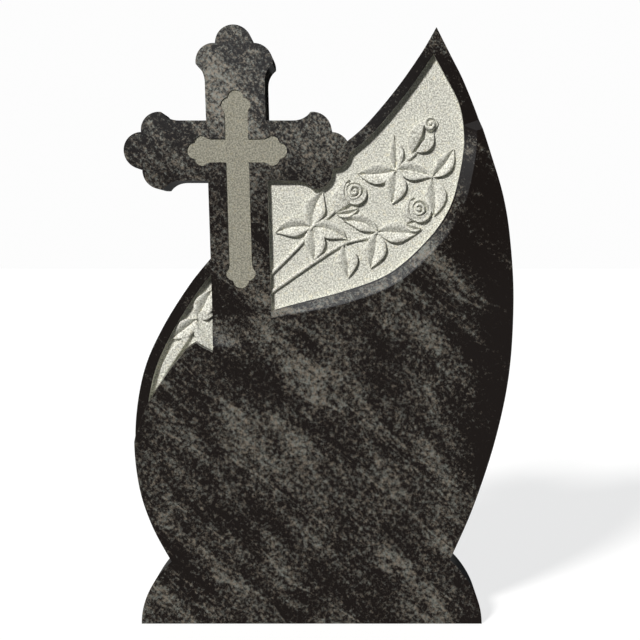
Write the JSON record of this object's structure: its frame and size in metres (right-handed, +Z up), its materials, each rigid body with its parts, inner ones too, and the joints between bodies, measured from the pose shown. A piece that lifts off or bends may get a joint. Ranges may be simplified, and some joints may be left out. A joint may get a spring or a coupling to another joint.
{
  "type": "headstone",
  "caption": "Upright polished granite grave monument: a leaf-shaped slab on a flared foot, with a trefoil cross and rose sprigs carved in relief.",
  "frame": {"origin": "on the ground under the middle of the stone's width and thickness", "axes": "+Z up; +X to the right as seen from the front; the carved front faces -Y"},
  "size_m": [0.773, 0.1, 1.2],
  "materials": {
    "granite": "polished dark brown-black granite with lighter mottled streaks; the sunk field and its sprigs are tooled to a pale matt grey, and the small cross is frosted"
  },
  "bodies": {
    "root": {"headstone": "granite"}
  },
  "joints": []
}
